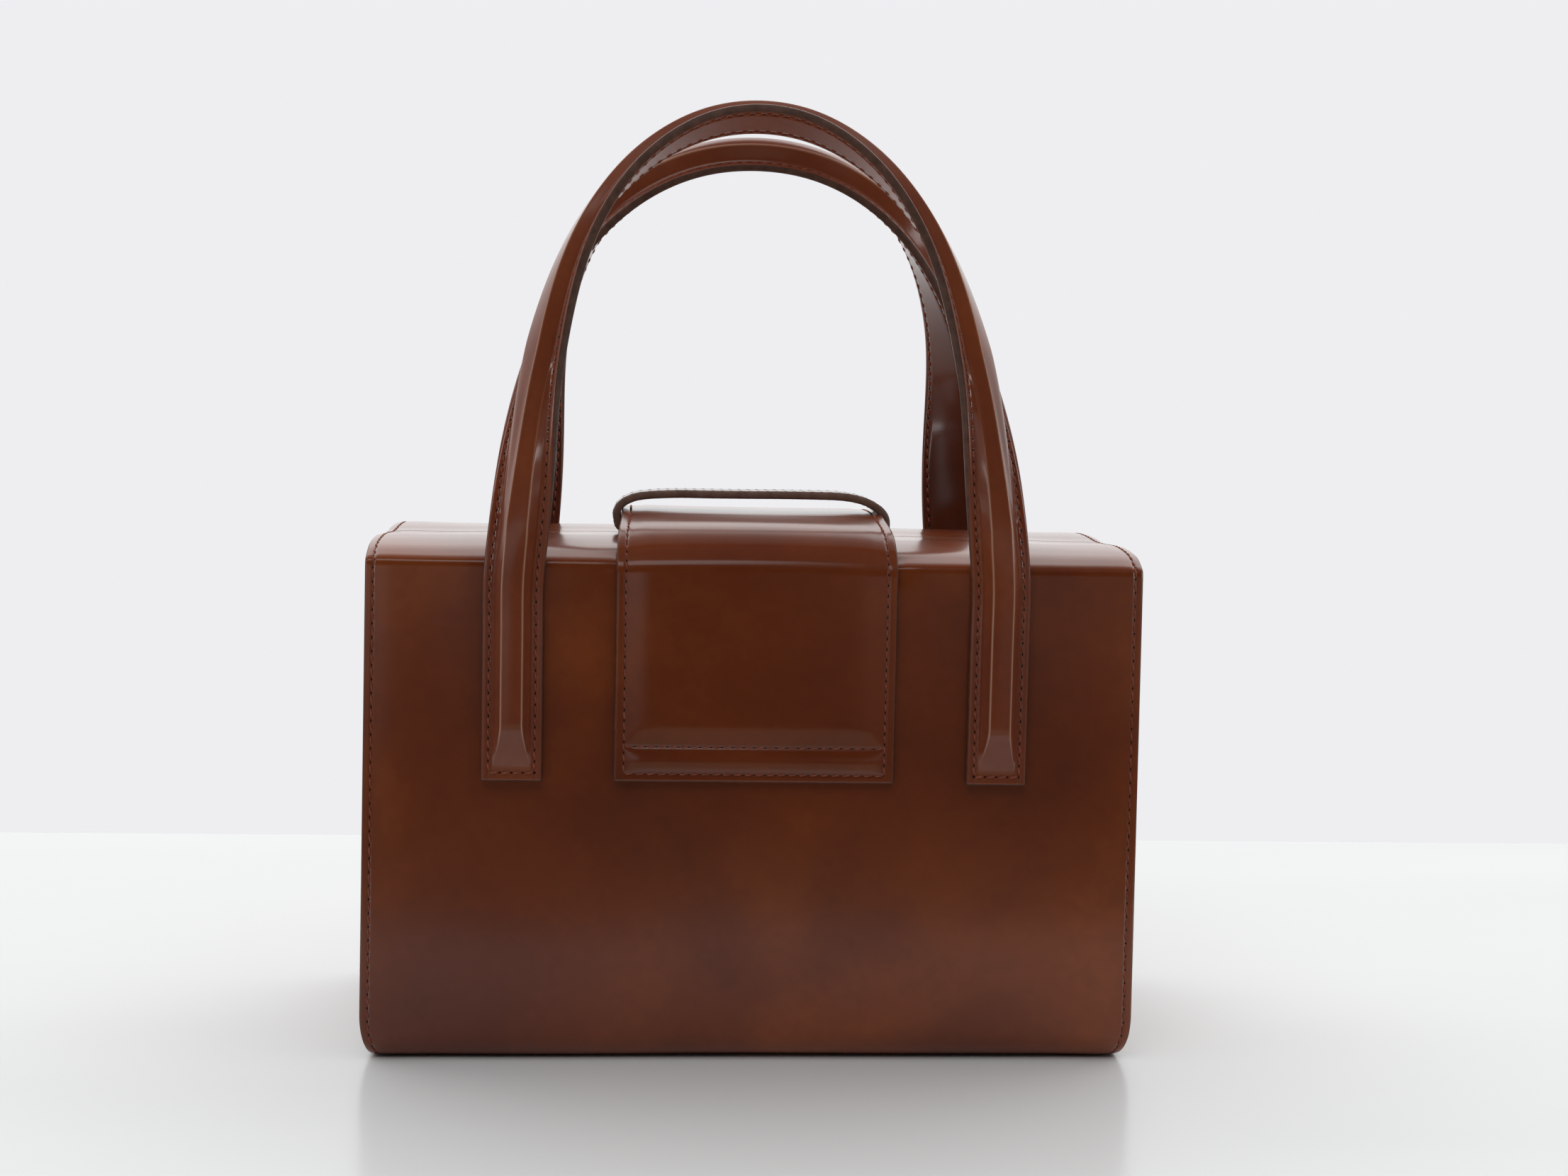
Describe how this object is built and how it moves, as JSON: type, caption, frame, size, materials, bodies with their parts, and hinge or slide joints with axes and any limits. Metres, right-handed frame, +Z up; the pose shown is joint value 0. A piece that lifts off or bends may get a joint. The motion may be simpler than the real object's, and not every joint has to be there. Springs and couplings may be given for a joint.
{
  "type": "structured leather handbag",
  "caption": "Structured top-handle handbag in polished brown leather, with a wrapped shell, inset side panels, a closing flap through a keeper loop and padded arched handles.",
  "frame": {"origin": "middle of the bag's bottom, on the surface that it stands on", "axes": "+Z up, +X along the bag's width, -Y towards the side that the flap is sewn to, which is the pictured side"},
  "size_m": [0.2496, 0.1278, 0.3068],
  "materials": {
    "leather": "polished",
    "handle_leather": "polished",
    "dark_leather": "satin",
    "clasp": "aged satin"
  },
  "bodies": {
    "root": {"shell": "leather", "gusset_left": "leather", "gusset_right": "leather", "flap": "leather", "keeper": "dark_leather", "handle_back": "handle_leather", "handle_front": "handle_leather", "clasp": "clasp"}
  },
  "joints": []
}
